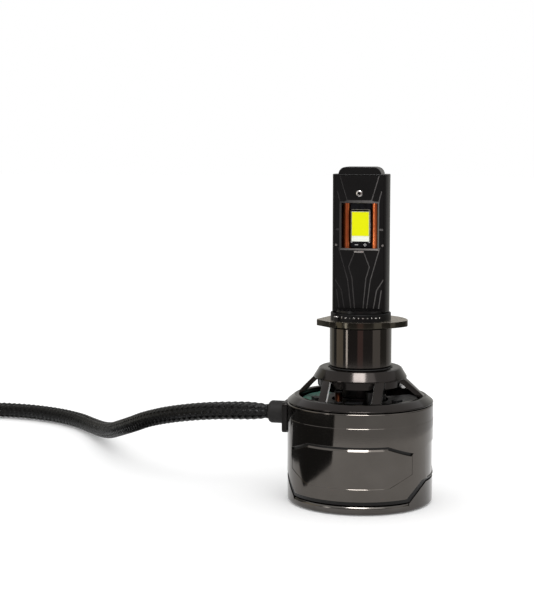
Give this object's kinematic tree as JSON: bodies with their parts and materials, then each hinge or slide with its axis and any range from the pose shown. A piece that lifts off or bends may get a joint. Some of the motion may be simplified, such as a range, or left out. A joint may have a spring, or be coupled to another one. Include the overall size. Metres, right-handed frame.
{
  "type": "headlight bulb",
  "caption": "LED headlight bulb: a two-sided lamp post on a turning mounting collar, over a round fan-cooled body with a braided lead and plug.",
  "frame": {"origin": "middle of the flat face of the guard bar at the fan end, which the bulb stands on", "axes": "+Z along the bulb's axis from the fan end to the tip of the lamp post; -Y out of the front light; -X towards the cable gland"},
  "size_m": [0.1866, 0.1016, 0.0844],
  "materials": {
    "body_metal": "gloss gunmetal lacquer",
    "vent_metal": "gloss black lacquer",
    "black_chrome": "dark mirror",
    "post_metal": "gloss black anodised",
    "collar_metal": "satin dark lacquer",
    "copper": "bright copper",
    "winding": "enamelled copper wire",
    "bare_aluminium": "brushed",
    "steel": "bright",
    "brass": "bright",
    "black_plastic": "matte",
    "rubber": "matte",
    "ferrite": "dull dark grey",
    "board_black": "black solder mask",
    "board_green": "green solder mask",
    "chip_white": "white ceramic",
    "phosphor": "yellow phosphor in silicone",
    "wire_red": "insulation",
    "wire_black": "insulation",
    "braid": "braided black sleeve"
  },
  "bodies": {
    "lamp": {"outer_shell": "body_metal", "end_guard": "body_metal", "gland_plate": "body_metal", "vent_cone": "vent_metal", "cable_gland": "rubber", "seal_ring": "rubber", "neck_barrel": "black_chrome", "lamp_post": "post_metal", "face_plate_front": "post_metal", "face_plate_rear": "post_metal", "face_screw_front": "steel", "face_screw_rear": "steel", "heat_pipe_left": "copper", "heat_pipe_right": "copper", "led_board_front": "board_black", "led_board_rear": "board_black", "led_chip_front": "chip_white", "led_chip_rear": "chip_white", "phosphor_front": "phosphor", "phosphor_rear": "phosphor", "chip_bracket_front": "steel", "chip_bracket_rear": "steel", "heat_sink": "bare_aluminium", "driver_board": "board_green", "driver_inductor": "winding", "driver_capacitor": "bare_aluminium", "driver_chip": "black_plastic", "driver_transistor": "black_plastic", "driver_diode": "black_plastic", "power_wire_positive": "wire_red", "power_wire_negative": "wire_black", "fan_frame": "black_plastic", "fan_bearing": "brass", "fan_stator": "ferrite", "stator_coil_1": "winding", "stator_coil_2": "winding", "stator_coil_3": "winding", "stator_coil_4": "winding", "fan_board": "board_green", "cord_run": "braid", "plug_boot": "rubber", "plug_housing": "black_plastic", "plug_blade_1": "brass", "plug_blade_2": "brass"},
    "collar": {"mount_collar": "collar_metal", "collar_screw": "steel"},
    "fan_rotor": {"fan_rotor": "black_plastic", "rotor_magnet": "ferrite", "rotor_shaft": "steel"}
  },
  "joints": [
    {"name": "fan_spin", "type": "hinge", "parent": "lamp", "child": "fan_rotor", "pos_m": [0, 0, 0.007], "axis": [0, 0, 1], "continuous": true},
    {"name": "collar_turn", "type": "hinge", "parent": "lamp", "child": "collar", "pos_m": [0, 0, 0.0452], "axis": [0, 0, 1], "continuous": true}
  ]
}
